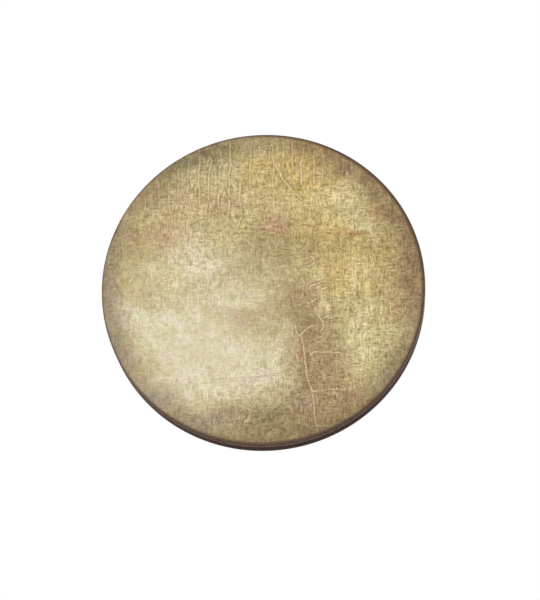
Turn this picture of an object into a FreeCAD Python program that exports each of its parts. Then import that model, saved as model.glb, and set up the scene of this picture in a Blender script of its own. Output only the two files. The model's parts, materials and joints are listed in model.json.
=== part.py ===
import FreeCAD
import Part

import math
import os

# A daf, the large frame drum of Persian and Kurdish music, held upright.
# A shallow bent-wood hoop carries a stiff, skin-like head on its front edge. Inside the open back,
# screw eyes stand round the hoop, and a short chain of three steel rings hangs from each of them.
# The rings in the upper half hang straight down. Those in the lower half lie down along the hoop.
# One station is left free at the bottom, where a thumb scoop is cut in the hoop for the player's hand.
#
# Frame: the origin is the middle of the drum. Y runs along the drum's axis, and the head faces -Y.
# Z is up, and the thumb scoop is at the bottom. Lengths are in millimetres and angles in degrees.

# The hoop
shell_diameter = 530.0
shell_depth = 50.0
shell_wall = 9.0
bearing_round = 2.5
bearing_crest = 1.5
bearing_bevel_angle = 45.0
back_edge_ease = 1.5

# The head, a film formed over the hoop's front edge and glued down its side
film_thickness = 0.5
film_collar_depth = 20.0
glue_gap = 0.1

# The thumb scoop, cut by a ring-shaped cutter whose outside is tighter than the hoop's inside
scoop_angle = -90.0
scoop_depth = 4.5
scoop_cutter_radius = 14.0
scoop_sweep_radius = 120.0

# The screw eyes
station_count = 20
eye_wire = 1.8
eye_bore = 7.0
eye_standoff = 9.0
eye_from_back = 12.0
eye_bite = 6.5
eye_point = 2.0
eye_tip = 0.6
eye_slit = 0.3
eye_fit = 0.05

# The rings, cut from a coil of wire, so that each has a fine slit where its ends meet
ring_diameter = 18.0
ring_wire = 2.0
ring_slit = 0.3
rings_per_chain = 3
link_gap = 0.1
wall_gap = 0.3

# Wire and bends are drawn with flat facets: round a ring, round its wire, and round a bent edge
ring_facets = 10
wire_facets = 5
bend_facets = 2

# Sizes worked out from those
shell_outer = shell_diameter / 2
shell_inner = shell_outer - shell_wall
overall_depth = shell_depth + glue_gap + film_thickness
back_y = overall_depth / 2
front_y = back_y - shell_depth
eye_radius = (eye_bore + eye_wire) / 2
eye_centre_radius = shell_inner - eye_standoff
eye_y = back_y - eye_from_back
ring_radius = (ring_diameter - ring_wire) / 2
first_ring_reach = eye_radius + ring_radius - (eye_wire + ring_wire) / 2 - link_gap
ring_pitch = 2 * ring_radius - ring_wire - link_gap
last_ring_reach = first_ring_reach + (rings_per_chain - 1) * ring_pitch
resting_radius = shell_inner - wall_gap - ring_diameter / 2

drum_axis = FreeCAD.Vector(0, 1, 0)
origin = FreeCAD.Vector(0, 0, 0)


def meridian(radius, y):
    """A point of a turned profile, which lies in the plane of the X and Y axes."""
    return FreeCAD.Vector(radius, y, 0)


def bend(centre_radius, centre_y, radius, start_angle, end_angle):
    """The points of a rounded corner in a turned profile."""
    points = []
    for step in range(bend_facets + 1):
        turn = math.radians(start_angle + (end_angle - start_angle) * step / bend_facets)
        points.append(meridian(centre_radius + radius * math.cos(turn), centre_y + radius * math.sin(turn)))
    return points


def turned(points):
    """Revolves a closed profile about the drum's axis."""
    outline = Part.makePolygon(points + points[:1])
    return Part.Face(outline).revolve(origin, drum_axis, 360)


def outward(angle):
    """The direction from the drum's axis towards a place on the hoop."""
    turn = math.radians(angle)
    return FreeCAD.Vector(math.cos(turn), 0, math.sin(turn))


def station_angles():
    """Where the screw eyes stand, round from the thumb scoop, which takes one station's place."""
    step = 360 / station_count
    return [scoop_angle + step * number for number in range(1, station_count)]


def eye_centre(angle):
    """The middle of a screw eye's loop."""
    return outward(angle) * eye_centre_radius + drum_axis * eye_y


def leaning_angle():
    """How far a chain that lies on the hoop stands off the outward direction at its eye."""
    reach = last_ring_reach
    cosine = resting_radius**2 - eye_centre_radius**2 - reach**2
    return math.degrees(math.acos(cosine / (2 * eye_centre_radius * reach)))


def side(angle):
    """1 on the right half of the drum, with the top, and -1 on the left half."""
    return 1 if outward(angle).x > -Part.Precision.confusion() else -1


def chain_direction(angle):
    """A chain hangs straight down, or lies down along the hoop where the hoop is in its way."""
    hanging = math.degrees(math.acos(-outward(angle).z))
    return outward(angle - side(angle) * max(hanging, leaning_angle()))


def make_scoop_cutter():
    """A thick ring that lies in the plane of the hoop's back edge and bites into its inner face."""
    sweep = scoop_sweep_radius - scoop_cutter_radius
    centre_radius = shell_inner + scoop_depth - scoop_sweep_radius
    centre = outward(scoop_angle) * centre_radius + drum_axis * back_y
    return Part.makeTorus(sweep, scoop_cutter_radius, centre, drum_axis)


def wire_section(centre, toward, sideways, radius):
    """The corners of a faceted wire's section, the first of them straight towards one side."""
    corners = []
    for step in range(wire_facets):
        turn = 2 * math.pi * step / wire_facets
        corners.append(centre + toward * (radius * math.cos(turn)) + sideways * (radius * math.sin(turn)))
    return corners


def through(sections):
    """A solid with flat facets through a run of wire sections, closed at both ends."""
    outlines = [sections[0], sections[-1]]
    for near, far in zip(sections, sections[1:]):
        for step in range(wire_facets):
            following = (step + 1) % wire_facets
            outlines.append([near[step], near[following], far[following], far[step]])
    faces = [Part.Face(Part.makePolygon(outline + outline[:1])) for outline in outlines]
    return Part.Solid(Part.Shell(faces))


def make_wire_ring(centre, axis, slit_direction, radius, wire, slit):
    """A ring of wire about an axis, with its slit on one side.

    The facets lie inside the round ring's outside and clear of its bore, so that linked rings keep
    their gap however they turn.
    """
    outside = radius + wire / 2
    bore = (radius - wire / 2) / math.cos(math.pi / ring_facets)
    facet_radius = (outside + bore) / 2
    facet_wire = (outside - bore) / 2
    slit_turn = slit / radius
    across = axis.cross(slit_direction)
    sections = []
    for number in range(ring_facets + 1):
        turn = slit_turn / 2 + (2 * math.pi - slit_turn) * number / ring_facets
        away = slit_direction * math.cos(turn) + across * math.sin(turn)
        sections.append(wire_section(centre + away * facet_radius, away * -1, axis, facet_wire))
    return through(sections)


def make_eye_hole(angle):
    """The hole that a screw eye bites into, cut from inside the hoop."""
    radius = eye_wire / 2 + eye_fit
    ends = [shell_inner - eye_bite, shell_inner + eye_bite + eye_fit]
    direction = outward(angle)
    across = direction.cross(drum_axis)
    places = [direction * reach + drum_axis * eye_y for reach in ends]
    return through([wire_section(place, drum_axis, across, radius) for place in places])


def make_shell():
    """The hoop: eased back edges, and a front edge bevelled from inside to a narrow crest."""
    crest_outer = shell_outer - bearing_round
    crest_inner = crest_outer - bearing_crest
    bevel_depth = (crest_inner - shell_inner) * math.tan(math.radians(bearing_bevel_angle))
    eased_y = back_y - back_edge_ease
    profile = [
        meridian(shell_inner, eased_y),
        meridian(shell_inner + back_edge_ease, back_y),
        meridian(shell_outer - back_edge_ease, back_y),
        meridian(shell_outer, eased_y),
        *bend(crest_outer, front_y + bearing_round, bearing_round, 0, -90),
        meridian(crest_inner, front_y),
        meridian(shell_inner, front_y + bevel_depth),
    ]
    holes = [make_eye_hole(angle) for angle in station_angles()]
    return turned(profile).cut([make_scoop_cutter()] + holes)


def make_drumhead():
    """The film: flat across the drum, round the front edge, and down the hoop's side as a collar."""
    bend_radius = shell_outer - bearing_round
    bend_y = front_y + bearing_round
    inner_bend = bearing_round + glue_gap
    outer_bend = inner_bend + film_thickness
    collar_y = front_y + film_collar_depth
    face_inner_y = front_y - glue_gap
    face_outer_y = face_inner_y - film_thickness
    return turned([
        meridian(0, face_outer_y),
        meridian(0, face_inner_y),
        *bend(bend_radius, bend_y, inner_bend, -90, 0),
        meridian(bend_radius + inner_bend, collar_y),
        meridian(bend_radius + outer_bend, collar_y),
        *bend(bend_radius, bend_y, outer_bend, 0, -90),
    ])


def make_screw_eye(angle):
    """A loop of wire, its slit away from the chain, on a pointed shank that is screwed into the hoop."""
    centre = eye_centre(angle)
    direction = outward(angle)
    across = direction.cross(drum_axis)
    slit_direction = outward(angle + side(angle) * 90)
    loop = make_wire_ring(centre, drum_axis, slit_direction, eye_radius, eye_wire, eye_slit)
    tip = eye_standoff + eye_bite
    stages = [
        (eye_radius, eye_wire / 2),
        (tip - eye_point, eye_wire / 2),
        (tip, eye_tip / 2),
    ]
    shank = through(
        [wire_section(centre + direction * reach, drum_axis, across, radius) for reach, radius in stages]
    )
    return loop.fuse(shank)


def make_chain(angle):
    """The rings of one chain, each linked square to the one before it, from the eye outwards."""
    down = chain_direction(angle)
    across = down.cross(drum_axis)
    rings = []
    for number in range(rings_per_chain):
        centre = eye_centre(angle) + down * (first_ring_reach + number * ring_pitch)
        axis, slit_direction = (across, drum_axis) if number % 2 == 0 else (drum_axis, across)
        rings.append(make_wire_ring(centre, axis, slit_direction, ring_radius, ring_wire, ring_slit))
    return rings


def write(name, solids):
    """Writes one node: a single piece, or a group of like pieces."""
    shape = solids[0] if len(solids) == 1 else Part.makeCompound(solids)
    shape.exportStep("parts/" + name + ".step")


def main():
    os.makedirs("parts", exist_ok=True)
    write("shell", [make_shell()])
    write("drumhead", [make_drumhead()])
    write("screw_eyes", [make_screw_eye(angle) for angle in station_angles()])
    for number, angle in enumerate(station_angles(), start=1):
        for ring_number, ring in enumerate(make_chain(angle), start=1):
            write(f"chain_{number:02d}_ring_{ring_number}", [ring])


main()
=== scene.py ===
# %% [markdown]
# # A daf, the large frame drum, in its studio
#
# A daf is a shallow wooden hoop with a skin over its front, or a film that looks like one, and short chains
# of steel rings hang inside. The measured model of the drum comes first and is never moved: it says how
# large each piece is and where it sits. This lesson dresses that model, piece by piece, until it looks like
# the real instrument. The drum's axis lies along Y, the head faces -Y, and Z is up. All lengths are in
# metres.

# %% The measured drum
import json
import math

import bmesh
import bpy
import numpy as np
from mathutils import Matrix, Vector, noise


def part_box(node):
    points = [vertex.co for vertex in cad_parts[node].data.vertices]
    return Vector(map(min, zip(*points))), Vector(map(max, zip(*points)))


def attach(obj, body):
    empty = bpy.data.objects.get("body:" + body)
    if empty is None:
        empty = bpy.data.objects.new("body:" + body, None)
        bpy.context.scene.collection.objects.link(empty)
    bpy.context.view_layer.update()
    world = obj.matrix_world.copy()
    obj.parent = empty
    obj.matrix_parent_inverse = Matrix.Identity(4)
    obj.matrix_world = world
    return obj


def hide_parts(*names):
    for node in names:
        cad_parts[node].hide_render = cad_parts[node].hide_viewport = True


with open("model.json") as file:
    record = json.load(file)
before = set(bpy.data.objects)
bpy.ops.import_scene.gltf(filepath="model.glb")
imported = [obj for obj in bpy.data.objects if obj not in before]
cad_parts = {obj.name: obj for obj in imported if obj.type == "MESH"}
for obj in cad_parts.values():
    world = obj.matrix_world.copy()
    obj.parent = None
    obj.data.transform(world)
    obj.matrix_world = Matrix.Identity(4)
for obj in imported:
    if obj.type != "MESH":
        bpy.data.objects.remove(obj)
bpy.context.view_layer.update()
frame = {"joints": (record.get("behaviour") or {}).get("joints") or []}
MM = 0.001

# %% [markdown]
# ## The camera comes first
#
# The drum is seen from in front and below, nearly straight on, from nearly five metres away. The height and
# the distance of the camera were worked out from the drum's outline, which is a slightly flattened circle
# with a sliver of its side below. Setting the camera before anything else means that each later step can be
# judged in the view that matters most. Blender takes a camera's sensor and lens in millimetres, and it lays
# the sensor's width along the longer side of the picture, which is its height here.

# %% Camera
IMAGE_WIDTH = 540
IMAGE_HEIGHT = 600
FOCAL_PIXELS = 2829
SENSOR_WIDTH = 36.0
VIEW_DISTANCE = 4.657
VIEW_HEIGHT_ANGLE = math.radians(-17.36)
VIEW_SIDE_ANGLE = math.radians(3.51)
LOOK_AT = Vector((0.0102, 0.0, -0.0155))


def set_up(data, place, target):
    """Puts a camera or a lamp in the studio, turned towards a point."""
    thing = bpy.data.objects.new(data.name, data)
    thing.location = place
    thing.rotation_mode = "QUATERNION"
    thing.rotation_quaternion = (target - Vector(place)).to_track_quat("-Z", "Y")
    bpy.context.scene.collection.objects.link(thing)
    return thing


from_drum = Vector((
    math.sin(VIEW_SIDE_ANGLE) * math.cos(VIEW_HEIGHT_ANGLE),
    -math.cos(VIEW_SIDE_ANGLE) * math.cos(VIEW_HEIGHT_ANGLE),
    math.sin(VIEW_HEIGHT_ANGLE),
))
camera_place = from_drum * VIEW_DISTANCE
camera_data = bpy.data.cameras.new("studio_camera")
camera_data.sensor_width = SENSOR_WIDTH
camera_data.lens = FOCAL_PIXELS / IMAGE_HEIGHT * SENSOR_WIDTH
camera = set_up(camera_data, camera_place, LOOK_AT)
bpy.context.scene.camera = camera
bpy.context.scene.view_settings.view_transform = "Standard"

print("camera", [round(value, 3) for value in camera_place], "lens", round(camera_data.lens, 1), "mm")

# %% [markdown]
# ## Small helpers for materials
#
# A material is a tree of nodes, and so are the surroundings. Every node is made in the same way: it is
# added, and then each of its sockets gets a number, a colour or a link from another node. The functions
# below do that, and each kind of node that is needed often gets a function of its own where it first comes
# up. `seen` turns a colour as it looks on a screen, from 0 to 255, into the linear value that the shader
# wants.

# %% Colours and nodes
def seen(red, green, blue):
    """A colour as the eye sees it on a screen, as the shader's linear value."""
    linear = []
    for value in (red, green, blue):
        share = value / 255
        linear.append(share / 12.92 if share <= 0.04045 else ((share + 0.055) / 1.055) ** 2.4)
    return (*linear, 1.0)


def with_nodes(owner):
    """A new material or the surroundings, ready for nodes of its own."""
    owner.use_nodes = True
    owner.node_tree.nodes.clear()
    return owner


def fill(node, sockets):
    """Puts a number or colour on each socket, or links another node's output to it."""
    for name, value in sockets.items():
        if isinstance(value, bpy.types.NodeSocket):
            node.id_data.links.new(value, node.inputs[name])
        else:
            node.inputs[name].default_value = value


def add_node(owner, kind, sockets=None):
    """One node, with what goes into its sockets, each known by its name or number."""
    node = owner.node_tree.nodes.new(kind)
    fill(node, sockets or {})
    return node


def step_of(operation, first, second=0.0, limit=False):
    """One step of arithmetic, in the tree that its values come from."""
    known = first if isinstance(first, bpy.types.NodeSocket) else second
    step = known.id_data.nodes.new("ShaderNodeMath")
    step.operation = operation
    step.use_clamp = limit
    fill(step, {0: first, 1: second})
    return step.outputs[0]


print("a mid grey is written as", [round(value, 3) for value in seen(128, 128, 128)])

# %% [markdown]
# ## Soft, even studio light
#
# A drum head looks flat and honest under broad light: two large soft boxes in front, the left one nearly
# twice as strong as the right, and a third behind for the rings inside. The surroundings are plain white to
# the eye, to polished metal and to anything clear, while a light grey in their place lights the drum
# itself. That keeps a colour close to the value it is written with.

# %% Lamps and surroundings
SURROUND_GREY = (0.74, 0.74, 0.74, 1.0)
WHITE = (1.0, 1.0, 1.0, 1.0)
DRUM_MIDDLE = Vector((0.0, 0.0, 0.0))
# The place, the width and the watts of each soft box
SOFT_BOXES = {
    "front_left_box": ((-1.9, -2.6, -0.2), 1.8, 22.0),
    "front_right_box": ((1.6, -2.9, 1.4), 1.6, 12.0),
    "back_box": ((1.2, 2.6, 1.5), 1.6, 26.0),
}

for box_name, (place, width, power) in SOFT_BOXES.items():
    soft_box = bpy.data.lights.new(box_name, "AREA")
    soft_box.shape = "SQUARE"
    soft_box.size = width
    soft_box.energy = power
    set_up(soft_box, place, DRUM_MIDDLE)

surroundings = with_nodes(bpy.data.worlds.new("surroundings"))
bpy.context.scene.world = surroundings
seen_white = add_node(surroundings, "ShaderNodeBackground", {"Color": WHITE})
lighting_grey = add_node(surroundings, "ShaderNodeBackground", {"Color": SURROUND_GREY})
ray = add_node(surroundings, "ShaderNodeLightPath").outputs
seen_or_mirrored = step_of("MAXIMUM", ray["Is Camera Ray"], ray["Is Glossy Ray"])
or_clear = step_of("MAXIMUM", seen_or_mirrored, ray["Is Transmission Ray"])
choose = add_node(surroundings, "ShaderNodeMixShader", {
    0: or_clear,
    1: lighting_grey.outputs[0],
    2: seen_white.outputs[0],
})
add_node(surroundings, "ShaderNodeOutputWorld", {"Surface": choose.outputs[0]})

print("lamps", list(SOFT_BOXES))

# %% [markdown]
# ## The floor
#
# The drum is held up, so the floor lies well below it. It is a large pale sheet with a faint unevenness.
# The unevenness is noise. Its fineness says how often it swings in a metre, with one number for all
# directions or one for each of them.

# %% A finish, and noise on it
def new_finish(name):
    """A material with only a shader and an output yet."""
    finish = with_nodes(bpy.data.materials.new(name))
    shader = add_node(finish, "ShaderNodeBsdfPrincipled")
    add_node(finish, "ShaderNodeOutputMaterial", {"Surface": shader.outputs[0]})
    return finish


def shader_of(finish):
    """The shader of a finish."""
    return finish.node_tree.nodes["Principled BSDF"]


def noise_of(finish, fineness, detail=2.0, rough=0.5, warp=0.0, shift=(0.0, 0.0, 0.0)):
    """Noise over a piece."""
    scale = fineness if isinstance(fineness, tuple) else (fineness, fineness, fineness)
    place = add_node(finish, "ShaderNodeTexCoord").outputs["Object"]
    moved = add_node(finish, "ShaderNodeMapping", {"Vector": place, "Location": shift, "Scale": scale})
    return add_node(finish, "ShaderNodeTexNoise", {
        "Vector": moved.outputs[0],
        "Scale": 1.0,
        "Detail": detail,
        "Roughness": rough,
        "Distortion": warp,
    }).outputs[0]


def mix_of(finish, share, first, second, way="MIX"):
    """Two colours mixed by a share from 0 to 1."""
    mixer = add_node(finish, "ShaderNodeMix")
    mixer.data_type = "RGBA"
    mixer.blend_type = way
    fill(mixer, {0: share, 6: first, 7: second})
    return mixer.outputs[2]


print("noise takes 3 nodes, and a mix takes 1")

# %% Floor
FLOOR_HEIGHT = -1.62
HALF_FLOOR = 30.0
FLOOR_PALE = seen(243, 243, 242)
FLOOR_PALER = seen(248, 248, 248)

corners = [(x * HALF_FLOOR, y * HALF_FLOOR, FLOOR_HEIGHT) for x, y in ((-1, -1), (1, -1), (1, 1), (-1, 1))]
floor_mesh = bpy.data.meshes.new("floor")
floor_mesh.from_pydata(corners, [], [(0, 1, 2, 3)])
floor = bpy.data.objects.new("floor", floor_mesh)
bpy.context.scene.collection.objects.link(floor)
studio_floor = new_finish("studio_floor")
unevenness = noise_of(studio_floor, fineness=0.6)
fill(shader_of(studio_floor), {
    "Base Color": mix_of(studio_floor, unevenness, FLOOR_PALE, FLOOR_PALER),
    "Roughness": 0.9,
})
floor_mesh.materials.append(studio_floor)

print("floor at", FLOOR_HEIGHT, "m")

# %% [markdown]
# ## Turned pieces
#
# The hoop and the head are both turned shapes: one outline carried round the drum's axis. A modifier could
# spin a curve, but the head also needs an even net of points over its face, to paint the skin's pattern on,
# and the hoop needs its thumb scoop. So the outlines are turned in code, where each point can still be
# moved.

# %% Turning and making pieces
def turned_point(radius, depth, turn):
    """A point of a turned piece: its distance from the axis, its place along the axis, and the angle."""
    return (radius * math.cos(turn), depth, radius * math.sin(turn))


def arc(centre_radius, centre_depth, radius, start, end, steps):
    """Points round a rounded corner of an outline, with the angles in degrees."""
    corner = []
    for step in range(steps + 1):
        turn = math.radians(start + (end - start) * step / steps)
        corner.append((centre_radius + radius * math.cos(turn), centre_depth + radius * math.sin(turn)))
    return corner


def band_faces(lower, upper):
    """Four-sided faces between two rings of point numbers."""
    faces = []
    for step in range(len(lower)):
        following = (step + 1) % len(lower)
        faces.append((lower[step], lower[following], upper[following], upper[step]))
    return faces


def make_piece(name, points, faces, finishes, sharp_angle=35):
    """A closed piece with its faces turned outwards and smooth shading between gentle edges."""
    mesh = bpy.data.meshes.new(name)
    mesh.from_pydata(points, [], faces)
    shape = bmesh.new()
    shape.from_mesh(mesh)
    bmesh.ops.recalc_face_normals(shape, faces=shape.faces)
    shape.to_mesh(mesh)
    shape.free()
    for finish in finishes:
        mesh.materials.append(finish)
    mesh.shade_smooth()
    mesh.set_sharp_from_angle(angle=math.radians(sharp_angle))
    piece = bpy.data.objects.new(name, mesh)
    bpy.context.scene.collection.objects.link(piece)
    return piece


head_low, head_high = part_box("drumhead")
shell_low, shell_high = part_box("shell")
HEAD_RADIUS = min(head_high.x, head_high.z, -head_low.x, -head_low.z)
FACE_DEPTH = head_low.y
COLLAR_END = head_high.y
SHELL_RADIUS = min(shell_high.x, shell_high.z, -shell_low.x, -shell_low.z)
SHELL_BACK = shell_high.y

print("head radius", round(HEAD_RADIUS, 4), "from", round(FACE_DEPTH, 4), "to", round(COLLAR_END, 4))

# %% [markdown]
# ## The head's shape
#
# The head is a stiff film, half a millimetre thick. It lies flat across the drum, turns round the hoop's
# front edge in a small bend, and is glued down the side as a collar that stops short, with a thin pale line
# round its end. The face is laid out as a square net that is pressed into a disc, so that its
# points are evenly spaced everywhere. A spun disc would crowd them at the middle and starve the rim, where
# the pattern is darkest.

# %% The net of points
NET = 400


def pressed_square(across, up):
    """Presses a point of the square from -1 to 1 into the unit disc, keeping the spacing even."""
    if across == 0 and up == 0:
        return 0.0, 0.0
    if abs(across) > abs(up):
        radius, turn = across, math.pi / 4 * up / across
    else:
        radius, turn = up, math.pi / 2 - math.pi / 4 * across / up
    return radius * math.cos(turn), radius * math.sin(turn)


FILM = 0.5 * MM
GLUE_GAP = 0.1 * MM
CREST_ROUND = 2.5 * MM
FILM_BEND = CREST_ROUND + GLUE_GAP + FILM

flat_radius = HEAD_RADIUS - FILM_BEND
head_points = []
for row in range(NET + 1):
    for column in range(NET + 1):
        across, up = pressed_square(2 * column / NET - 1, 2 * row / NET - 1)
        head_points.append((across * flat_radius, FACE_DEPTH, up * flat_radius))
side = NET + 1
head_faces = []
for row in range(NET):
    for column in range(NET):
        corner = row * side + column
        head_faces.append((corner, corner + 1, corner + side + 1, corner + side))
FACE_COUNT = len(head_faces)

print("face of the head", len(head_points), "points")

# %% The bend, the collar and the back of the film
BEND_STEPS = 6
PRINT_END = 6 * MM
# How far up the outside the pale line along the collar's end reaches
PALE_LINE_WIDTH = 1.6 * MM
CUT_EDGE_ROUND = 0.12 * MM

rim = [row * side + NET for row in range(NET)]
rim += [NET * side + column for column in range(NET, 0, -1)]
rim += [row * side for row in range(NET, 0, -1)]
rim += list(range(NET))
rim_turns = [2 * math.pi * step / len(rim) - math.pi / 4 for step in range(len(rim))]

outer_bend = arc(flat_radius, FACE_DEPTH + FILM_BEND, FILM_BEND, -90, 0, BEND_STEPS)[1:]
inner_bend = arc(flat_radius, FACE_DEPTH + FILM_BEND, FILM_BEND - FILM, 0, -90, BEND_STEPS)
head_outline = [
    *outer_bend,
    (HEAD_RADIUS, FACE_DEPTH + PRINT_END),
    (HEAD_RADIUS, (FACE_DEPTH + COLLAR_END) / 2),
    (HEAD_RADIUS, COLLAR_END - PALE_LINE_WIDTH),
    (HEAD_RADIUS, COLLAR_END - CUT_EDGE_ROUND),
    (HEAD_RADIUS - CUT_EDGE_ROUND, COLLAR_END),
    (HEAD_RADIUS - FILM, COLLAR_END),
    *inner_bend,
]
rows = [rim]
for radius, depth in head_outline:
    start = len(head_points)
    head_points += [turned_point(radius, depth, turn) for turn in rim_turns]
    rows.append(list(range(start, start + len(rim))))
for lower, upper in zip(rows, rows[1:]):
    head_faces += band_faces(lower, upper)
head_faces.append(tuple(rows[-1]))
PRINTED_ROWS = len(outer_bend) + 1
CUT_EDGE_ROWS = range(PRINTED_ROWS + 2, PRINTED_ROWS + 5)

print("head", len(head_points), "points", len(head_faces), "faces")

# %% [markdown]
# ## Reading places off the picture
#
# The pattern on this head is that of a dried hide: pale veins, darker clouds and a few rust spots. The main
# ones are placed in pixels of the picture, and a ray from the camera through each pixel is
# followed to the head's face. That gives a place on the drum which stays right from any side.

# %% From a pixel to the head
camera_axes = camera.rotation_quaternion.to_matrix()
MIDDLE_PIXEL = (280, 289)
NEXT_PIXEL = (281, 289)


def on_head(pixel):
    """The place on the head's face, across and up, that one pixel of the picture shows."""
    sideways = (pixel[0] - IMAGE_WIDTH / 2) / FOCAL_PIXELS
    upwards = (IMAGE_HEIGHT / 2 - pixel[1]) / FOCAL_PIXELS
    ray = camera_axes @ Vector((sideways, upwards, -1.0))
    reach = (FACE_DEPTH - camera_place.y) / ray.y
    place = camera_place + ray * reach
    return np.array((place.x, place.z))


PIXEL = float(np.linalg.norm(on_head(NEXT_PIXEL) - on_head(MIDDLE_PIXEL)))

print("one pixel is", round(PIXEL / MM, 2), "mm on the head")

# %% [markdown]
# ## Veins, clouds and spots
#
# Each vein is a short chain of points, as a print maker would draw it, with its strength. Each cloud or
# spot is a soft oval: its middle, its half width and half height, and its strength. The ochre, olive,
# umber, cream, straw, rosy, mauve and rust ones are colours. The cream ones over the lower left, which merge
# into one large pale area, are a painted pool of light from the front left; the tiny cream marks at the
# upper right are pale print. Where it is calm the grain is weak, and where it is streaked fine upright
# streaks cross the hide. All are painted on the net's points as values, which the material turns into
# colour. Painting on the mesh was chosen over more noise, because a hide's veins branch and wander with
# intent.

# %% Places of the veins, clouds and spots
# Each vein's strength and points
VEINS = [
    (0.9, (164, 171), (168, 176)), (1.0, (178, 170), (179, 184), (178, 200)),
    (0.9, (188, 163), (188, 180), (188, 193)),
    (1.1, (199, 150), (200, 157), (199, 172), (199, 203)),
    (1.05, (207, 166), (210, 157), (212, 160), (209, 172), (208, 200)),
    (1.0, (220, 166), (219, 187), (219, 208)),
    (1.2, (229, 139), (230, 152), (230, 165), (229, 186), (229, 210)),
    (1.05, (240, 182), (239, 196), (241, 208), (242, 217), (238, 228)),
    (1.0, (230, 221), (234, 225)), (0.9, (252, 140), (251, 162), (250, 188)),
    (0.7, (259, 146), (260, 160), (259, 174)), (0.8, (323, 152), (323, 166), (322, 180)),
    (0.6, (331, 158), (331, 176)), (0.7, (158, 186), (159, 196), (159, 208)),
    (0.9, (168, 183), (168, 191), (169, 202), (169, 213)), (0.8, (190, 200), (190, 213)),
    (0.8, (199, 153), (204, 158), (206, 166)), (0.9, (217, 148), (220, 151), (222, 157)),
    (0.8, (190, 168), (194, 166), (199, 165)), (0.4, (176, 186), (174, 196)),
    (0.4, (159, 180), (160, 194)), (0.3, (205, 186), (214, 187)),
    (0.6, (215, 209), (223, 215), (231, 224), (238, 230), (246, 240), (255, 249)),
    (1.1, (271, 156), (278, 170), (284, 180), (292, 190), (302, 199)),
    (0.6, (277, 162), (287, 174), (296, 187), (299, 197)),
    (0.6, (273, 149), (274, 168), (273, 190)), (0.7, (283, 138), (284, 150), (283, 168)),
    (1.1, (293, 142), (292, 157), (293, 172)), (1.2, (304, 147), (301, 166), (301, 184)),
    (1.0, (315, 150), (314, 167), (314, 184)), (0.6, (282, 210), (283, 225), (289, 231)),
    (1.3, (308, 266), (313, 264), (315, 262), (314, 258), (310, 256)),
    (1.0, (311, 260), (313, 260)), (1.5, (309, 289), (311, 286), (315, 285), (319, 283)),
    (1.2, (323, 289), (327, 287)), (0.7, (320, 282), (326, 281), (332, 281)),
    (0.6, (336, 280), (346, 279)), (1.2, (310, 299), (312, 302), (316, 299)),
    (0.8, (312, 302), (313, 305)), (0.5, (322, 288), (323, 299)), (1.0, (300, 298), (303, 293)),
    (0.7, (352, 262), (353, 278), (356, 290), (353, 300)),
    (0.5, (348, 284), (349, 300), (347, 318)), (0.3, (344, 296), (344, 322)),
    (0.7, (378, 272), (382, 276), (381, 282)), (0.9, (373, 273), (370, 275), (373, 277)),
    (1.1, (354, 292), (354, 298)), (0.4, (334, 328), (334, 350)), (0.4, (341, 326), (341, 350)),
    (0.4, (376, 330), (384, 336), (396, 340)), (0.3, (268, 190), (276, 197), (284, 205)),
    (0.3, (150, 186), (151, 200)), (0.4, (188, 250), (190, 243), (195, 246)),
    (0.7, (393, 260), (400, 257)), (1.1, (295, 325), (296, 331), (298, 334), (301, 337)),
    (1.2, (301, 336), (303, 346), (305, 357), (306, 370), (308, 381), (312, 391)),
    (1.1, (312, 391), (313, 400), (315, 412), (316, 423), (318, 432)),
    (1.2, (301, 335), (305, 330), (311, 325)), (0.5, (311, 325), (316, 326), (320, 328)),
    (1.3, (317, 313), (319, 316), (321, 319), (324, 324), (323, 329), (320, 331)),
    (1.0, (324, 317), (328, 316)), (0.5, (322, 320), (328, 322)),
    (1.3, (309, 355), (315, 352), (325, 352), (331, 353), (340, 352)),
    (0.8, (340, 352), (343, 360), (347, 365), (352, 366), (358, 365), (364, 364)),
    (0.5, (352, 335), (353, 352), (352, 366)),
    (1.4, (312, 391), (321, 390), (334, 389), (346, 389)), (0.7, (336, 384), (337, 389)),
    (0.8, (318, 425), (327, 425), (334, 426)), (0.9, (296, 354), (298, 359)),
    (0.5, (281, 365), (290, 367), (296, 371), (297, 382)),
    (0.6, (212, 380), (226, 380), (236, 379), (252, 380), (258, 375)),
    (0.6, (352, 288), (353, 303)), (0.7, (389, 300), (390, 312)),
    (0.5, (396, 298), (410, 297), (425, 298)),
    (0.8, (373, 178), (368, 183), (366, 191), (366, 198)), (0.5, (176, 195), (184, 195)),
    (0.5, (180, 191), (180, 199)), (0.5, (200, 226), (204, 232), (209, 238)),
    (0.7, (186, 176), (184, 182)), (0.7, (220, 176), (224, 180)), (0.7, (229, 163), (233, 168)),
    (0.7, (199, 184), (195, 190)), (0.6, (208, 182), (212, 187)), (0.7, (240, 198), (236, 204)),
]
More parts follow.
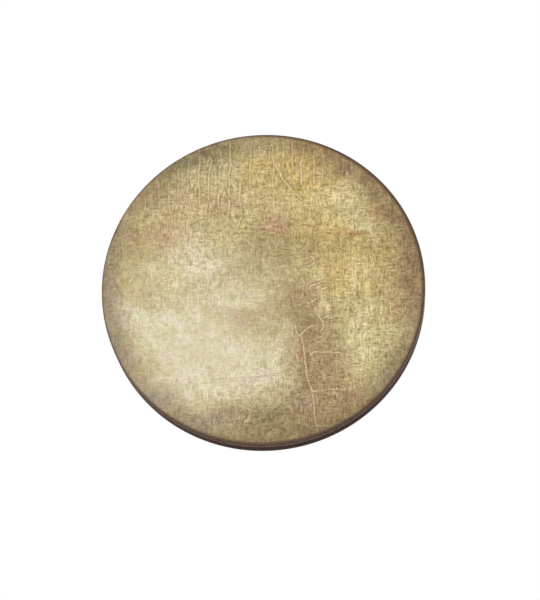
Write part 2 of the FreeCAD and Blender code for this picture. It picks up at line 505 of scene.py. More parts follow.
# Each oval's middle, half width, half height and strength
CLOUDS = {
    "ochre": [
        (306, 180, 40, 34, 0.75), (270, 162, 34, 18, 0.45), (340, 272, 24, 30, 0.5),
        (330, 240, 34, 18, 0.5), (248, 176, 20, 26, 0.3), (352, 282, 14, 30, 0.4),
        (374, 258, 24, 42, 0.35), (388, 280, 18, 34, 0.3), (346, 231, 18, 9, 0.35),
        (338, 200, 24, 14, 0.25),
    ],
    "olive": [
        (186, 163, 50, 13, 0.6), (216, 160, 30, 17, 0.2), (194, 173, 26, 14, 0.2),
        (150, 198, 18, 20, 0.5), (168, 175, 12, 10, 0.5), (205, 152, 14, 7, 0.5),
        (220, 147, 11, 6, 0.5), (250, 148, 28, 9, 0.5), (262, 414, 28, 15, 0.7),
        (290, 418, 22, 16, 0.5), (262, 266, 14, 12, 0.3), (386, 378, 26, 22, 0.5),
        (400, 356, 14, 22, 0.4), (340, 338, 12, 16, 0.55), (330, 246, 40, 10, 0.4),
        (402, 258, 16, 14, 0.4),
    ],
    "umber": [
        (273, 256, 18, 20, 0.5), (297, 298, 22, 34, 0.75), (312, 345, 18, 34, 0.8),
        (323, 380, 23, 30, 0.72), (320, 412, 28, 16, 0.9), (393, 200, 24, 28, 1.0),
        (404, 216, 16, 14, 0.6), (414, 272, 20, 46, 1.0), (342, 162, 28, 13, 0.85),
        (372, 176, 20, 14, 0.75), (230, 414, 30, 12, 0.95), (350, 404, 30, 16, 0.8),
        (380, 392, 20, 12, 0.4), (406, 348, 12, 24, 0.5), (326, 402, 20, 16, 0.8),
        (386, 276, 16, 30, 0.3), (277, 228, 15, 10, 0.4), (290, 440, 110, 20, 0.9),
        (300, 150, 12, 8, 0.35), (342, 173, 6, 6, 0.7), (371, 190, 7, 9, 0.6),
    ],
    # Cream: the large ovals over the lower left are a painted pool of light, and the tiny last four are pale
    # print
    "cream_and_light_pool": [
        (204, 350, 56, 42, 1.0), (158, 326, 30, 26, 0.8), (190, 258, 28, 22, 0.8),
        (231, 302, 18, 14, 0.45), (214, 282, 30, 36, 0.45), (258, 288, 20, 22, 0.25),
        (158, 280, 26, 20, 0.25), (270, 350, 22, 24, 0.35), (131, 311, 16, 12, 0.6),
        (233, 374, 36, 20, 0.6), (190, 388, 54, 18, 0.55), (277, 377, 20, 12, 0.4),
        (156, 322, 9, 8, 0.3), (349, 169, 1.3, 2.2, 0.6), (346, 174, 1.3, 2.4, 0.6),
        (365, 212, 2, 1.5, 0.6), (371, 214, 1.5, 2, 0.6),
    ],
    "straw": [
        (361, 328, 17, 36, 0.85), (356, 278, 15, 32, 0.45), (338, 200, 26, 15, 0.8),
        (360, 224, 20, 9, 0.75), (366, 368, 16, 18, 0.6), (166, 278, 20, 18, 0.4),
        (380, 336, 24, 12, 0.45), (323, 303, 12, 11, 0.65), (380, 303, 11, 8, 0.6),
        (222, 190, 44, 16, 0.35), (268, 262, 12, 14, 0.3), (392, 326, 12, 6, 0.35),
    ],
    "rosy": [
        (158, 243, 24, 15, 0.75), (200, 202, 32, 13, 0.55), (277, 223, 14, 11, 0.9),
        (240, 318, 15, 11, 0.5), (322, 402, 26, 18, 0.55), (146, 205, 12, 10, 0.4),
        (180, 230, 10, 14, 0.3),
    ],
    "mauve": [
        (112, 290, 9, 50, 0.6), (122, 238, 13, 26, 0.2), (118, 356, 13, 34, 0.75),
        (148, 400, 28, 14, 0.7), (190, 425, 40, 10, 0.7), (302, 402, 12, 10, 0.5),
    ],
    "rust": [
        (168, 242, 5, 5, 0.9), (352, 234, 14, 4, 1.0), (142, 198, 4, 3, 0.8), (323, 153, 5, 6, 0.8),
        (371, 208, 8, 6, 0.7), (237, 142, 6, 3, 0.6), (381, 186, 6, 9, 0.5), (170, 218, 5, 4, 0.4),
        (248, 316, 7, 4, 0.4), (344, 156, 9, 4, 0.5), (363, 169, 5, 2.5, 0.9),
        (368, 175, 4, 2, 0.8), (370, 217, 6, 2.5, 0.8), (277, 230, 9, 6, 0.6),
        (302, 346, 3, 12, 0.4),
    ],
    "calm": [
        (192, 352, 88, 64, 1.0), (262, 290, 50, 46, 0.35), (142, 268, 34, 52, 0.45),
        (215, 260, 40, 26, 0.25),
    ],
    "streaked": [
        (356, 290, 44, 66, 1.0), (320, 172, 70, 30, 0.6),
    ],
}
CLOUD_WANDER = ((40, 8.0), (13, 3.0))
VEIN_WANDER = ((9, 1.2), (4, 0.5))
VEIN_HALF_WIDTH = 0.56
WANDER_SEED = 6
# The painted shadow beside each vein, as if the vein were raised: its width and how far out it lies
VEIN_SHADOW_WIDTH = 1.4
VEIN_SHADOW_AWAY = 1.9

print("veins", len(VEINS), "clouds and spots", sum(len(ovals) for ovals in CLOUDS.values()))

# %% [markdown]
# A mark with straight or round edges looks drawn. So every point of the net is first moved a little by
# noise, in long and short swings, and then asked how far it lies from each mark. The noise starts from a set
# number, so that each run paints the same drum. The swings' lengths and
# reaches above are in pixels, as is half the width of a vein.

# %% Painting them on the mesh
def paint(mesh, name, values):
    """Stores one value for each point of a mesh."""
    layer = mesh.attributes.new(name, "FLOAT", "POINT")
    layer.data.foreach_set("value", np.asarray(values, np.float32))


def away_from_line(places, start, end):
    """How far each place lies from a straight stretch of a vein."""
    run = end - start
    share = np.clip((places - start) @ run / (run @ run), 0, 1)
    return np.linalg.norm(places - start - share[:, None] * run, axis=1)


def wandered(places, wanders):
    """The places, each moved a little, so that a straight or round mark comes out irregular."""
    moved = places.copy()
    for length, reach in wanders:
        fineness = 1 / (length * PIXEL)
        swings = [noise.noise_vector((x * fineness, z * fineness, 0))[:2] for x, z in places]
        moved += PIXEL * reach * np.array(swings)
    return moved


def vein_values(places):
    """1 along the middle of a vein and 0 to its side, and the same for the painted shadow beside it."""
    middle, vein_shadow = np.zeros(len(places)), np.zeros(len(places))
    for strength, *pixels in VEINS:
        line = [on_head(pixel) for pixel in pixels]
        for start, end in zip(line, line[1:]):
            away = away_from_line(places, start, end) / (VEIN_HALF_WIDTH * PIXEL)
            middle = np.maximum(middle, strength * np.exp(-(away**2)))
            vein_shadow = np.maximum(vein_shadow, strength * np.exp(-((away / VEIN_SHADOW_WIDTH - VEIN_SHADOW_AWAY) ** 2)))
    return middle, vein_shadow


def cloud_values(places, ovals):
    """Soft ovals, which add up to 1 at most where they meet."""
    values = np.zeros(len(places))
    for across, down, half_width, half_height, strength in ovals:
        away = (places - on_head((across, down))) / (np.array((half_width, half_height)) * PIXEL)
        values += strength * np.exp(-(away**2).sum(axis=1))
    return np.clip(values, 0, 1)


noise.seed_set(WANDER_SEED)
head_places = np.array([(point[0], point[2]) for point in head_points])
head_paint = dict(zip(("vein", "vein_shadow"), vein_values(wandered(head_places, VEIN_WANDER))))
cloud_places = wandered(head_places, CLOUD_WANDER)
for cloud_name, ovals in CLOUDS.items():
    head_paint[cloud_name] = cloud_values(cloud_places, ovals)

print("painted", {name: round(float(values.mean()), 3) for name, values in head_paint.items()})

# %% [markdown]
# ## The printed hide
#
# Seen close, the face is a tan ground in two tones, clouded with the eight colours painted above, of which
# the cream is partly a painted pool of light. Each painted cloud is broken up by noise, so that its edge
# frays. Small patches lean to green or to pink, and where the hide is streaked faint upright streaks cross
# it. Each layer is one mix, from the widest tone to the finest mark, so that any of them can be turned down
# by itself. Two more helpers come up here: one reads the paint, and one spreads a value from one range over
# another.

# %% Hide material
TAN = seen(198, 180, 128)
TAN_DEEP = seen(179, 158, 108)
UMBER = seen(148, 120, 82)
# The colour of each cloud, and the most that it covers
LAYERS = {
    "ochre": (seen(200, 170, 96), 0.9),
    "olive": (seen(130, 120, 82), 0.85),
    "umber": (UMBER, 0.9),
    # Cream: mostly a painted pool of light at the lower left, with some pale print
    "cream_and_light_pool": (seen(221, 211, 178), 1.0),
    "straw": (seen(212, 198, 144), 0.9),
    "rosy": (seen(178, 142, 108), 0.7),
    "mauve": (seen(166, 150, 136), 0.9),
    "rust": (seen(168, 115, 74), 0.7),
}
PATCH_GREEN = (0.955, 0.98, 0.91, 1.0)
PATCH_PINK = (1.04, 1.015, 1.07, 1.0)
STREAK_DARK = (0.86, 0.85, 0.80, 1.0)
STREAK_LIGHT = (1.13, 1.14, 1.18, 1.0)
PATCHES = (0.35, 0.65)
SOFT_PATCHES = (0.3, 0.7)


def painted(finish, name):
    """A value that was painted on the mesh, point by point."""
    layer = add_node(finish, "ShaderNodeAttribute")
    layer.attribute_name = name
    return layer.outputs["Fac"]


def spread_of(finish, value, over, onto=(0.0, 1.0), smooth=True):
    """Spreads a value from one range onto another, and holds it there."""
    spread = add_node(finish, "ShaderNodeMapRange", dict(enumerate((value, *over, *onto))))
    spread.interpolation_type = "SMOOTHSTEP" if smooth else "LINEAR"
    return spread.outputs[0]


def times(first, second, limit=False):
    """Two values multiplied."""
    return step_of("MULTIPLY", first, second, limit)


def tinted(finish, tone, tint):
    """A tone multiplied by a tint, colour by colour."""
    return mix_of(finish, 1.0, tone, tint, way="MULTIPLY")


hide = new_finish("printed_hide")
wide_cloud = noise_of(hide, fineness=16, detail=4, rough=0.6)
break_up = noise_of(hide, fineness=55, detail=5, rough=0.65, shift=(3, 0, 7))
break_share = spread_of(hide, break_up, over=(0.25, 0.75), onto=(0.5, 1.4), smooth=False)
tone = mix_of(hide, spread_of(hide, wide_cloud, over=PATCHES), TAN_DEEP, TAN)
for layer_name, (layer_colour, most) in LAYERS.items():
    share = times(painted(hide, layer_name), break_share)
    tone = mix_of(hide, times(share, most, limit=True), tone, layer_colour)

patch = noise_of(hide, fineness=48, shift=(4, 9, 1))
tone = tinted(hide, tone, mix_of(hide, spread_of(hide, patch, over=PATCHES), PATCH_GREEN, PATCH_PINK))

streak = noise_of(hide, fineness=(170, 170, 16), detail=3, rough=0.6, shift=(1, 1, 1))
streak_tint = mix_of(hide, spread_of(hide, streak, over=PATCHES), STREAK_DARK, STREAK_LIGHT)
tone = mix_of(hide, painted(hide, "streaked"), tone, tinted(hide, tone, streak_tint))

print("layers of tone", 3 + len(LAYERS))

# %% [markdown]
# Over the tones lies a fine grain that runs both ways, like cloth, with a little speckle in it. Pale hair-
# thin contours show in places: they are the lines along which a noise passes certain levels. The painted
# veins come last, broken up a little, each with a painted shadow beside it, as if the vein were raised.

# %% Grain, contours and veins
GRAIN_DARK = (0.46, 0.41, 0.31, 1.0)
GRAIN_LIGHT = (1.60, 1.64, 1.82, 1.0)
GRAIN_RANGE = (0.53, 0.92)
SPECKLE_SHARE = 0.45
CALM_GRAIN = 0.25
CONTOUR_LEVELS = 9.0
VEIN_PALE = seen(236, 218, 172)
VEIN_SHARE = 0.85
VEIN_SHADOW_SHARE = 0.5


def contours_of(field, levels):
    """0 along the contour lines of a noise, and 1 halfway between them."""
    steps = step_of("FRACT", times(field, levels))
    away = step_of("ABSOLUTE", step_of("SUBTRACT", steps, 0.5))
    return step_of("SUBTRACT", 1.0, times(away, 2.0))


calm = painted(hide, "calm")
speckle = noise_of(hide, fineness=300, detail=3, rough=0.7)
upright_grain = noise_of(hide, fineness=(380, 380, 100), rough=0.6)
level_grain = noise_of(hide, fineness=(100, 380, 380), rough=0.6, shift=(5, 2, 0))
direction = noise_of(hide, fineness=45, shift=(2, 8, 3))
which_way = spread_of(hide, direction, over=PATCHES, onto=(0.25, 0.72))
weave = mix_of(hide, which_way, upright_grain, level_grain)
grain = step_of("ADD", weave, times(speckle, SPECKLE_SHARE))
grain_tint = mix_of(hide, spread_of(hide, grain, over=GRAIN_RANGE, smooth=False), GRAIN_DARK, GRAIN_LIGHT)
grain_share = spread_of(hide, calm, over=(0.0, 1.0), onto=(1.0, CALM_GRAIN), smooth=False)
tone = mix_of(hide, grain_share, tone, tinted(hide, tone, grain_tint))

contour_field = noise_of(hide, fineness=42, detail=1, warp=1.2, shift=(1, 4, 2))
contours = contours_of(contour_field, CONTOUR_LEVELS)
contour_line = spread_of(hide, contours, over=(0.0, 0.3), onto=(1.0, 0.0))
in_places = spread_of(hide, noise_of(hide, fineness=24, detail=3, shift=(9, 1, 5)), over=(0.48, 0.6))
contour_strength = spread_of(hide, calm, over=(0.0, 0.8), onto=(0.6, 0.12))
contour_share = times(times(contour_line, in_places), contour_strength)
tone = mix_of(hide, contour_share, tone, VEIN_PALE)

vein_break = spread_of(hide, noise_of(hide, fineness=340), over=(0.37, 0.56), onto=(0.25, 1.0))
# Painted shadow beside each vein, in umber
vein_shadow_share = times(painted(hide, "vein_shadow"), VEIN_SHADOW_SHARE, limit=True)
tone = mix_of(hide, vein_shadow_share, tone, UMBER)
vein_share = times(painted(hide, "vein"), vein_break, limit=True)
tone = mix_of(hide, times(vein_share, VEIN_SHARE), tone, VEIN_PALE)

print("hide nodes so far", len(hide.node_tree.nodes))

# %% [markdown]
# The rim is darker all round, which the print does on purpose so that it looks like an old hide that was
# handled for years. The distance from the drum's axis drives it, roughened by noise. Where the film bends
# over, the print turns dark brown, and it runs on in that colour round the bend and 6 mm down the side. To
# see both as one, the way along the film is added up: out from the axis, then down the side. The dark
# starts a little earlier towards the top and the right than at the lower left: that lean is painted shade,
# on the side away from the stronger front left lamp.

# %% Rim shading
RIM_BROWN = seen(108, 88, 66)
RIM_DARK = seen(85, 61, 44)
SOFT_RIM = (0.215, 0.275)
SOFT_RIM_MOST = 0.5
RIM_ROUGHNESS = 14 * MM
DARK_RIM = (flat_radius - 1.5 * MM, flat_radius + 6.2 * MM)
# The lean of the dark rim, painted shade away from the front left lamp: earlier to the right and above,
# later below
SHADE_EARLIER_RIGHT = 0.6
SHADE_EARLIER_ABOVE = 0.35
SHADE_LATER_BELOW = 0.7
SHADE_LEAN_FROM = -0.05
SHADE_LEAN = 0.023
LEAST_SHADE_LEAN = 1 * MM

place = add_node(hide, "ShaderNodeTexCoord").outputs["Object"]
split = add_node(hide, "ShaderNodeSeparateXYZ", {0: place}).outputs
squares = step_of("ADD", times(split["X"], split["X"]), times(split["Z"], split["Z"]))
from_axis = step_of("SQRT", squares)
rim_noise = spread_of(hide, break_up, over=(0.2, 0.8), onto=(-RIM_ROUGHNESS, RIM_ROUGHNESS), smooth=False)
rough_from_axis = step_of("ADD", from_axis, rim_noise)
soft_rim = spread_of(hide, rough_from_axis, over=SOFT_RIM, onto=(0.0, SOFT_RIM_MOST))
tone = mix_of(hide, soft_rim, tone, RIM_BROWN)

# Painted shade: the dark rim starts earlier towards the right and the top
to_right = times(split["X"], SHADE_EARLIER_RIGHT)
to_top = step_of("MINIMUM", times(split["Z"], SHADE_EARLIER_ABOVE), times(split["Z"], SHADE_LATER_BELOW))
past = step_of("SUBTRACT", step_of("ADD", to_right, to_top), SHADE_LEAN_FROM)
shade_lean = step_of("MAXIMUM", times(past, SHADE_LEAN), LEAST_SHADE_LEAN)
down_side = step_of("SUBTRACT", split["Y"], FACE_DEPTH)
along_film = step_of("ADD", step_of("ADD", from_axis, down_side), shade_lean)
tone = mix_of(hide, spread_of(hide, along_film, over=DARK_RIM), tone, RIM_DARK)

print("the rim turns dark from", [round(radius, 4) for radius in DARK_RIM])

# %% [markdown]
# The relief is very shallow, because the film is smooth to the hand and only looks like hide. The same
# grain drives it and the roughness.

# %% The hide's surface
def add_relief(finish, height, depth):
    """Fine relief, with its depth in metres."""
    bump = add_node(finish, "ShaderNodeBump", {"Strength": 1.0, "Distance": depth, "Height": height})
    fill(shader_of(finish), {"Normal": bump.outputs[0]})


fill(shader_of(hide), {
    "Base Color": tone,
    "Roughness": spread_of(hide, grain, over=GRAIN_RANGE, onto=(0.66, 0.52)),
    "Specular IOR Level": 0.3,
})
add_relief(hide, grain, depth=0.06 * MM)

print("hide nodes", len(hide.node_tree.nodes))

# %% [markdown]
# Below the print the collar is the same film in a plain dark brown, where it is glued to the hoop. Its last
# 1.6 mm and its end are a pale mottled brown. The inside of the head is
# the film's bare back: an even, slightly yellow cream with a soft fibrous cloud, which the drummer sees
# through the open back. Seen at a slant, as in the main view, the collar is dull, so its gloss fades there.

# %% Collar, cut edge and bare back
COLLAR_BROWN = seen(98, 70, 54)
COLLAR_DARK = seen(74, 50, 40)
CUT_BROWN = seen(150, 118, 98)
CUT_PALE = seen(216, 186, 164)
BACK_CREAM = seen(206, 192, 154)
BACK_STRAW = seen(184, 166, 122)
GLOSS_FADES = (0.4, 0.68)
LEAST_GLOSS = 0.02


def fading_gloss(finish, most):
    """A gloss that fades where the surface is seen at a slant, as on a rubbed lacquer."""
    slant = add_node(finish, "ShaderNodeLayerWeight", {"Blend": 0.5}).outputs["Facing"]
    return spread_of(finish, slant, over=GLOSS_FADES, onto=(most, LEAST_GLOSS))


collar = new_finish("collar_film")
cloud = noise_of(collar, fineness=(40, 130, 40), detail=4, rough=0.6)
fill(shader_of(collar), {
    "Base Color": mix_of(collar, spread_of(collar, cloud, over=SOFT_PATCHES), COLLAR_DARK, COLLAR_BROWN),
    "Roughness": 0.6,
    "Specular IOR Level": fading_gloss(collar, 0.35),
})
add_relief(collar, noise_of(collar, fineness=500), depth=0.04 * MM)

cut_film = new_finish("cut_film_edge")
fill(shader_of(cut_film), {
    "Base Color": mix_of(cut_film, noise_of(cut_film, fineness=90, detail=3), CUT_BROWN, CUT_PALE),
    "Roughness": 0.6,
    "Specular IOR Level": 0.05,
})

bare_back = new_finish("bare_film_back")
back_cloud = noise_of(bare_back, fineness=26, detail=5, rough=0.6)
back_fibre = noise_of(bare_back, fineness=(420, 420, 70), detail=3, rough=0.65)
back_tone = mix_of(bare_back, spread_of(bare_back, back_cloud, over=SOFT_PATCHES), BACK_STRAW, BACK_CREAM)
fibre_tint = spread_of(bare_back, back_fibre, over=SOFT_PATCHES, onto=(0.9, 1.08))
fill(shader_of(bare_back), {
    "Base Color": tinted(bare_back, back_tone, fibre_tint),
    "Roughness": 0.55,
})
add_relief(bare_back, back_fibre, depth=0.05 * MM)

head_finishes = [hide, collar, cut_film, bare_back]
print("film finishes", [finish.name for finish in head_finishes])

# %% The finished head
PRINT, COLLAR, CUT_EDGE, BACK = range(len(head_finishes))

head = make_piece("drum_head", head_points, head_faces, head_finishes)
for paint_name, values in head_paint.items():
    paint(head.data, paint_name, values)
for face in head.data.polygons:
    row = (face.index - FACE_COUNT) // len(rim)
    if row < PRINTED_ROWS:
        face.material_index = PRINT
    elif row in CUT_EDGE_ROWS:
        face.material_index = CUT_EDGE
    elif row < CUT_EDGE_ROWS.start:
        face.material_index = COLLAR
    else:
        face.material_index = BACK
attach(head, "drum")
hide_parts("drumhead")

shown = [face.material_index for face in head.data.polygons]
print("faces", {finish.name: shown.count(number) for number, finish in enumerate(head_finishes)})

# %% [markdown]
# ## The hoop
#
# The hoop is a single board, steamed and bent into a circle, stained a very dark red brown and lacquered.
# At the back its edges are eased for the hands, and at the bottom a scoop is carved for the left thumb. A
# cutter and a Boolean would leave a hard, ragged edge round the scoop, so the wall is turned as a net of
# points, and those in the scoop's reach are pushed out to the cutter's surface, with the edge rounded as
# sandpaper would leave it.

# %% The thumb scoop
SHELL_WALL = 9 * MM
SCOOP_DEPTH = 4.5 * MM
SCOOP_TUBE = 14 * MM
SCOOP_SWEEP = 120 * MM
SCOOP_SOFTNESS = 0.35 * MM
FAR_APART = 30

shell_inner = SHELL_RADIUS - SHELL_WALL
scoop_centre = Vector((0, -(shell_inner + SCOOP_DEPTH - SCOOP_SWEEP)))


def scoop_reach(depth, turn):
    """How far out the thumb scoop reaches at a place on the wall, or 0 where it doesn't."""
    behind = SHELL_BACK - depth
    if behind >= SCOOP_TUBE:
        return 0.0
    circle = SCOOP_SWEEP - SCOOP_TUBE + math.sqrt(SCOOP_TUBE**2 - behind**2)
    along = Vector((math.cos(turn), math.sin(turn))).dot(scoop_centre)
    inside = along**2 - scoop_centre.length_squared + circle**2
    return along + math.sqrt(inside) if inside > 0 and along > 0 else 0.0


def softly_larger(first, second, softness):
    """The larger of two lengths, with the corner between them rounded."""
    gap = (first - second) / softness
    if abs(gap) > FAR_APART:
        return max(first, second)
    return max(first, second) + softness * math.log1p(math.exp(-abs(gap)))


print("scoop reaches", round(scoop_reach(SHELL_BACK, -math.pi / 2), 4))

# %% The hoop's mesh
AROUND = 480
CORNER_STEPS = 5
CREST_WIDTH = 1.5 * MM
EASE = 1.5 * MM
WALL_STEP = 0.8 * MM
WALL_STEPS = 15

crest_outer = SHELL_RADIUS - CREST_ROUND
crest_inner = crest_outer - CREST_WIDTH
shell_front = FACE_DEPTH + FILM + GLUE_GAP
shell_outline = [
    *arc(shell_inner + EASE, SHELL_BACK - EASE, EASE, 90, 180, CORNER_STEPS),
    *[(shell_inner, SHELL_BACK - EASE - step * WALL_STEP) for step in range(1, WALL_STEPS + 1)],
    (shell_inner, 0.0),
    (shell_inner, shell_front + crest_inner - shell_inner),
    (crest_inner, shell_front),
    *arc(crest_outer, shell_front + CREST_ROUND, CREST_ROUND, -90, 0, CORNER_STEPS),
    (SHELL_RADIUS, 0.0),
    *arc(SHELL_RADIUS - EASE, SHELL_BACK - EASE, EASE, 0, 90, CORNER_STEPS),
]
shell_points = []
for radius, depth in shell_outline:
    for turn in [2 * math.pi * step / AROUND for step in range(AROUND)]:
        scooped = radius
        if radius < shell_inner + EASE + MM:
            scooped = softly_larger(radius, scoop_reach(depth, turn), SCOOP_SOFTNESS)
        shell_points.append(turned_point(scooped, depth, turn))
shell_rows = [list(range(row * AROUND, (row + 1) * AROUND)) for row in range(len(shell_outline))]
shell_faces = []
for lower, upper in zip(shell_rows, shell_rows[1:] + shell_rows[:1]):
    shell_faces += band_faces(lower, upper)

print("hoop", len(shell_points), "points")

# %% [markdown]
# The stain hides most of the figure, so the wood shows as long dark streaks that run round the hoop, under
# a lacquer whose gloss fades at a slant. The grain is noise that changes quickly along the drum's axis and
# slowly round it. Where hands and the edge of a table touch the back edges the stain is rubbed a little
# lighter, which is painted on the mesh by how near a point is to those edges.

# %% Stained wood
WOOD_DARK = seen(34, 22, 18)
WOOD_RED = seen(66, 40, 31)
WOOD_RUBBED = seen(112, 76, 58)

wood = new_finish("stained_wood")
figure = noise_of(wood, fineness=(7, 420, 7), detail=5, rough=0.6, warp=0.3)
pores = noise_of(wood, fineness=(60, 1500, 60))
wood_tone = mix_of(wood, spread_of(wood, figure, over=(0.3, 0.72)), WOOD_DARK, WOOD_RED)
pore_share = spread_of(wood, pores, over=(0.58, 0.72), onto=(0.0, 0.5))
wood_tone = mix_of(wood, pore_share, wood_tone, WOOD_DARK)
rubbed_unevenly = spread_of(wood, noise_of(wood, fineness=(120, 300, 120), detail=4), over=(0.4, 0.65))
rubbed_share = times(painted(wood, "rubbed"), rubbed_unevenly)
fill(shader_of(wood), {
    "Base Color": mix_of(wood, rubbed_share, wood_tone, WOOD_RUBBED),
    "Roughness": spread_of(wood, figure, over=(0.2, 0.8), onto=(0.6, 0.5)),
    "Specular IOR Level": fading_gloss(wood, 0.5),
})
add_relief(wood, pores, depth=0.05 * MM)

print("wood nodes", len(wood.node_tree.nodes))

# %% The finished hoop
RUBBED_DOWN = 2.5 * MM
RUBBED_ACROSS = 1.5 * MM
RUBBED_MOST = 0.6


def rubbed(point):
    """How far the stain is rubbed off at a point of the hoop, most at the two back edges."""
    radius = math.hypot(point[0], point[2])
    from_edge = min(abs(radius - shell_inner), abs(radius - SHELL_RADIUS))
    near_back = max(0.0, 1 - (SHELL_BACK - point[1]) / RUBBED_DOWN)
    return RUBBED_MOST * near_back * max(0.0, 1 - from_edge / RUBBED_ACROSS)


hoop = make_piece("hoop", shell_points, shell_faces, [wood], sharp_angle=50)
paint(hoop.data, "rubbed", [rubbed(point) for point in shell_points])
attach(hoop, "drum")
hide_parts("shell")

print("hoop faces", len(hoop.data.polygons))

# %% [markdown]
# ## Nickel-plated steel
#
# The eyes and rings are plated wire. Plating is bright, but never perfect: it is slightly clouded, and
# finely scratched where ring rubs on ring. A metallic shader with a little noise in its colour and
# roughness gives both.

# %% Plated steel
NICKEL = seen(214, 211, 204)
NICKEL_DULL = seen(186, 181, 171)

nickel = new_finish("nickel_plate")
plate_cloud = noise_of(nickel, fineness=260, detail=3, rough=0.6)
scratches = noise_of(nickel, fineness=(2600, 700, 700), rough=0.6)
fill(shader_of(nickel), {
    "Base Color": mix_of(nickel, spread_of(nickel, plate_cloud, over=(0.35, 0.7)), NICKEL, NICKEL_DULL),
    "Metallic": 1.0,
    "Roughness": spread_of(nickel, scratches, over=(0.3, 0.75), onto=(0.16, 0.34)),
})
add_relief(nickel, scratches, depth=0.01 * MM)

print("nickel nodes", len(nickel.node_tree.nodes))

# %% [markdown]
# ## Where each chain hangs
#
# The hinges of the measured model already say where the wires cross: the first hinge of a chain lies on the
# screw eye's wire, the second on the first ring's wire, and the third on the second ring's. From these
# three points follow the line of the chain and the middle of every ring, with no second set of numbers to
# keep true.

# %% Chains from their hinges
RINGS_PER_CHAIN = 3
RING_RADIUS = 8 * MM
RING_WIRE = 1 * MM
EYE_RADIUS = 4.4 * MM
EYE_WIRE = 0.9 * MM
DRUM_AXIS = Vector((0, 1, 0))

hinge_of = {joint["child"]: joint for joint in frame["joints"]}
chains = []
for number in range(1, len(frame["joints"]) // RINGS_PER_CHAIN + 1):
    names = [f"chain_{number:02d}_ring_{place}" for place in range(1, RINGS_PER_CHAIN + 1)]
    crossings = [Vector(hinge_of[name]["pos_m"]) for name in names]
    step = crossings[2] - crossings[1]
    down = step.normalized()
    chains.append({
        "names": names,
        "down": down,
        "across": Vector(hinge_of[names[0]]["axis"]).normalized(),
        "middles": [crossings[1] - down * RING_RADIUS + step * place for place in range(RINGS_PER_CHAIN)],
        "eye": crossings[0] - down * EYE_RADIUS,
    })

largest_slip = 0.0
for chain in chains:
    for name, middle in zip(chain["names"], chain["middles"]):
        low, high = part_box(name)
        largest_slip = max(largest_slip, ((low + high) / 2 - middle).length)
print("chains", len(chains), "largest slip from the measured rings", round(largest_slip / MM, 3), "mm")

# %% [markdown]
# ## Wire
#
# Rings and eyes are both bent from round wire, so one function draws round wire along any line: it carries
# a small circle of points from place to place and closes the two ends. The ring is a line that stops a fine
# slit short of itself, as a ring cut from a coil does, and its ends are slightly rounded by tumbling.

# %% Round wire along a line
WIRE_SIDES = 14


def wire_along(line, flat_normal, radii):
    """Points and faces of round wire along a line that lies in one plane."""
    points = []
    for index, (middle, radius) in enumerate(zip(line, radii)):
        before = line[max(index - 1, 0)]
        after = line[min(index + 1, len(line) - 1)]
        heading = (after - before).normalized()
        sideways = heading.cross(flat_normal).normalized()
        for step in range(WIRE_SIDES):
            turn = 2 * math.pi * step / WIRE_SIDES
            offset = sideways * math.cos(turn) + flat_normal * math.sin(turn)
            size = radius(turn) if callable(radius) else radius
            points.append(middle + offset * size)
    wire_rows = [list(range(row * WIRE_SIDES, (row + 1) * WIRE_SIDES)) for row in range(len(line))]
    faces = [tuple(wire_rows[0]), tuple(wire_rows[-1])]
    for lower, upper in zip(wire_rows, wire_rows[1:]):
        faces += band_faces(lower, upper)
    return points, faces


print("wire has", WIRE_SIDES, "sides")

# %% Rings
RING_STEPS = 56
RING_SLIT = 0.3 * MM
END_SIZES = [0.86, 0.97]
END_STEP = 0.22


def make_ring(name, middle, axis, slit_side):
    """One ring of plated wire, with its slit to one side."""
    other = axis.cross(slit_side)
    half_slit = RING_SLIT / 2 / RING_RADIUS
    line = []
    for step in range(RING_STEPS + 1):
        turn = half_slit + (2 * math.pi - 2 * half_slit) * step / RING_STEPS
        line.append(middle + (slit_side * math.cos(turn) + other * math.sin(turn)) * RING_RADIUS)
    line[1] = line[0].lerp(line[1], END_STEP)
    line[-2] = line[-1].lerp(line[-2], END_STEP)
    full = [1.0] * (len(line) - 2 * len(END_SIZES))
    radii = [RING_WIRE * size for size in END_SIZES + full + END_SIZES[::-1]]
    points, faces = wire_along(line, axis, radii)
    return make_piece(name, points, faces, [nickel], sharp_angle=50)


for chain in chains:
    axes = [chain["across"], DRUM_AXIS, chain["across"]]
    slits = [DRUM_AXIS, chain["across"], DRUM_AXIS]
    for name, middle, axis, slit_side in zip(chain["names"], chain["middles"], axes, slits):
        ring = make_ring(name + "_wire", middle, axis, slit_side)
        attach(ring, name)
        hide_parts(name)

print("rings", RINGS_PER_CHAIN * len(chains), "each with", len(ring.data.vertices), "points")

# %% [markdown]
# ## Screw eyes
#
# A screw eye is one wire too: a threaded shank that bends aside and runs round into a loop, until its end
# comes back to the shank. The bend aside is a small arc that touches both the shank's line and the loop,
# and its place follows from the two radii. The thread shows for a turn or two before it goes into the wood.
# Reaches are measured from the loop's middle, out towards the hoop.

# %% Screw eyes
POINT_REACH = 15.5 * MM
POINT_LENGTH = 1.5 * MM
POINT_SIZE = 0.15 * MM
THREAD_REACH = 7.4 * MM
THREAD_PITCH = 1.1 * MM
THREAD_ROOT = 0.62 * MM
THREAD_FLANK = 0.28
SECTIONS_PER_TURN = 7
PLAIN_SHANK = 0.2 * MM
ELBOW = 2 * MM
ELBOW_STEPS = 6
LOOP_END = math.radians(21)
LOOP_END_SIZE = 0.85
LOOP_STEPS = 44


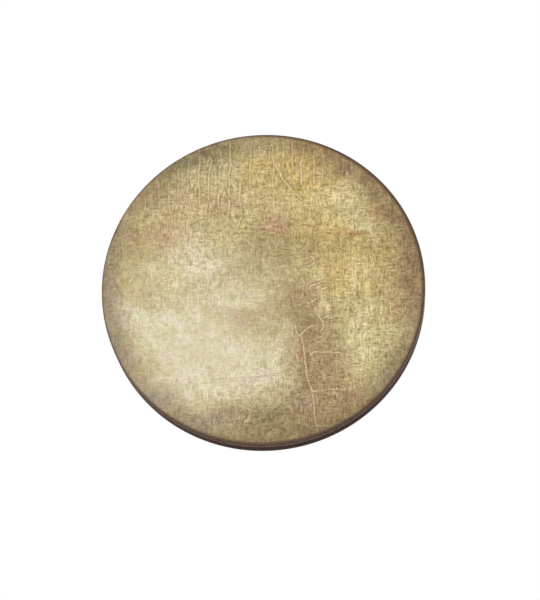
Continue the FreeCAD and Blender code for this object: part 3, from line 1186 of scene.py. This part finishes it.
def thread_size(reach):
    """The wire's radius round one section of the threaded shank."""
    def size(turn):
        phase = (reach / THREAD_PITCH - turn / (2 * math.pi)) % 1
        crest = max(0.0, 1 - abs(phase - 0.5) / THREAD_FLANK)
        return THREAD_ROOT + (EYE_WIRE - THREAD_ROOT) * crest
    return size


def eye_line(middle, outward, aside):
    """The line of a screw eye's wire, from the shank's point to the end of the loop, with its radii."""
    places = [(POINT_REACH, 0.0)]
    radii = [POINT_SIZE]
    reach = POINT_REACH - POINT_LENGTH
    while reach > THREAD_REACH:
        places.append((reach, 0.0))
        radii.append(thread_size(reach))
        reach -= THREAD_PITCH / SECTIONS_PER_TURN
    elbow_reach = math.sqrt(EYE_RADIUS**2 + 2 * EYE_RADIUS * ELBOW)
    places.append((THREAD_REACH - PLAIN_SHANK, 0.0))
    places.append(((THREAD_REACH + elbow_reach) / 2, 0.0))
    meets = math.atan2(-ELBOW, elbow_reach)
    for step in range(ELBOW_STEPS):
        turn = math.pi / 2 + (math.pi / 2 + meets) * step / ELBOW_STEPS
        places.append((elbow_reach + ELBOW * math.cos(turn), -ELBOW + ELBOW * math.sin(turn)))
    for step in range(LOOP_STEPS + 1):
        turn = meets - (2 * math.pi + meets - LOOP_END) * step / LOOP_STEPS
        places.append((EYE_RADIUS * math.cos(turn), EYE_RADIUS * math.sin(turn)))
    radii += [EYE_WIRE] * (len(places) - len(radii) - 1) + [EYE_WIRE * LOOP_END_SIZE]
    line = [middle + outward * along + aside * beside for along, beside in places]
    return line, radii


eye_points, eye_faces = [], []
for chain in chains:
    outward = Vector((chain["eye"].x, 0, chain["eye"].z)).normalized()
    aside = DRUM_AXIS.cross(outward)
    if aside.dot(chain["down"]) > 0:
        aside = -aside
    line, radii = eye_line(chain["eye"], outward, aside)
    points, faces = wire_along(line, DRUM_AXIS, radii)
    start = len(eye_points)
    eye_points += points
    eye_faces += [tuple(start + corner for corner in face) for face in faces]
eyes = make_piece("screw_eye_wires", eye_points, eye_faces, [nickel], sharp_angle=40)
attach(eyes, "drum")
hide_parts("screw_eyes")

print("screw eyes", len(chains), "with", len(eyes.data.vertices), "points in all")
